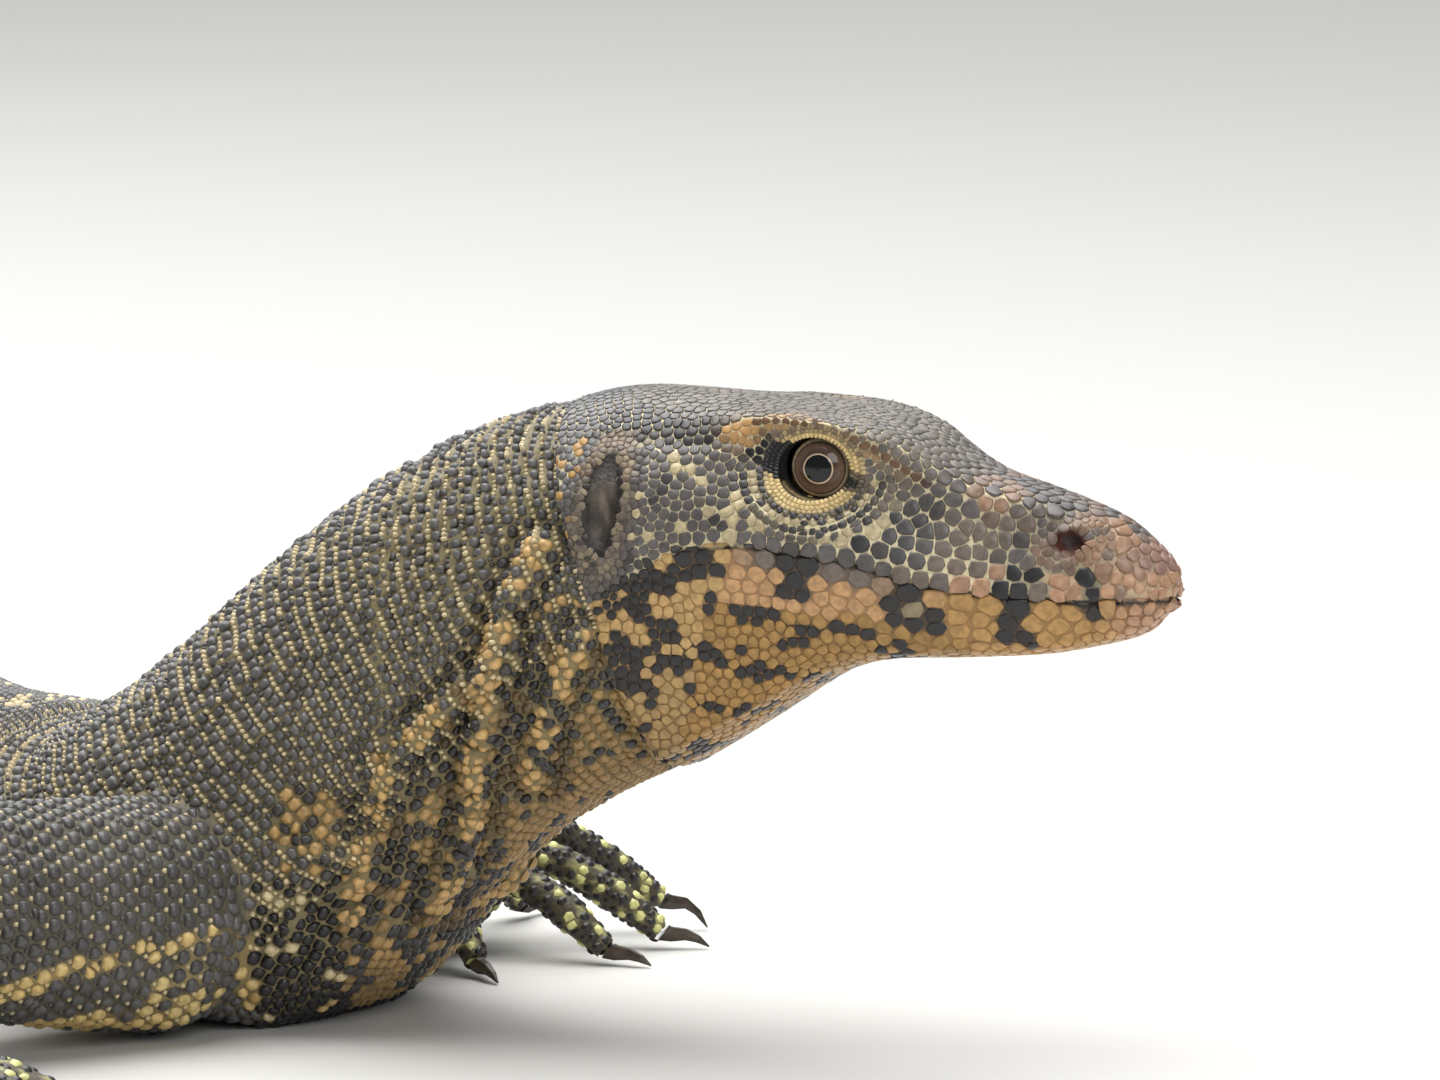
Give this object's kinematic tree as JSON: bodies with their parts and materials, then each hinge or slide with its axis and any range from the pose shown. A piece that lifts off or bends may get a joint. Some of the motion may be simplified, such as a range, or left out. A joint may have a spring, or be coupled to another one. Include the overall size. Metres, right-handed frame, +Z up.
{
  "type": "water monitor lizard model",
  "caption": "Life-size water monitor lizard lying on its belly, neck raised and head turned, legs sprawled and tail in a loose curve.",
  "frame": {"origin": "on the floor, under the middle of the animal's box", "axes": "+X the way that the animal faces, +Y to its left, +Z up"},
  "size_m": [1.3176, 0.57, 0.1154],
  "materials": {
    "scaled_skin": "satin",
    "throat_skin": "satin",
    "eye": "gloss",
    "claw": "gloss"
  },
  "bodies": {
    "root": {"head": "scaled_skin", "lower_jaw": "throat_skin", "neck": "scaled_skin", "torso_front": "scaled_skin", "torso_rear": "scaled_skin", "pelvis": "scaled_skin", "tail_1": "scaled_skin", "tail_2": "scaled_skin", "tail_3": "scaled_skin", "tail_4": "scaled_skin", "tail_5": "scaled_skin", "eye_right": "eye", "eye_left": "eye", "upper_arm_right": "scaled_skin", "forearm_right": "scaled_skin", "hand_right": "scaled_skin", "fore_right_claw_i": "claw", "fore_right_claw_ii": "claw", "fore_right_claw_iii": "claw", "fore_right_claw_iv": "claw", "fore_right_claw_v": "claw", "upper_arm_left": "scaled_skin", "forearm_left": "scaled_skin", "hand_left": "scaled_skin", "fore_left_claw_i": "claw", "fore_left_claw_ii": "claw", "fore_left_claw_iii": "claw", "fore_left_claw_iv": "claw", "fore_left_claw_v": "claw", "thigh_right": "scaled_skin", "shank_right": "scaled_skin", "foot_right": "scaled_skin", "hind_right_claw_i": "claw", "hind_right_claw_ii": "claw", "hind_right_claw_iii": "claw", "hind_right_claw_iv": "claw", "hind_right_claw_v": "claw", "thigh_left": "scaled_skin", "shank_left": "scaled_skin", "foot_left": "scaled_skin", "hind_left_claw_i": "claw", "hind_left_claw_ii": "claw", "hind_left_claw_iii": "claw", "hind_left_claw_iv": "claw", "hind_left_claw_v": "claw"}
  },
  "joints": []
}
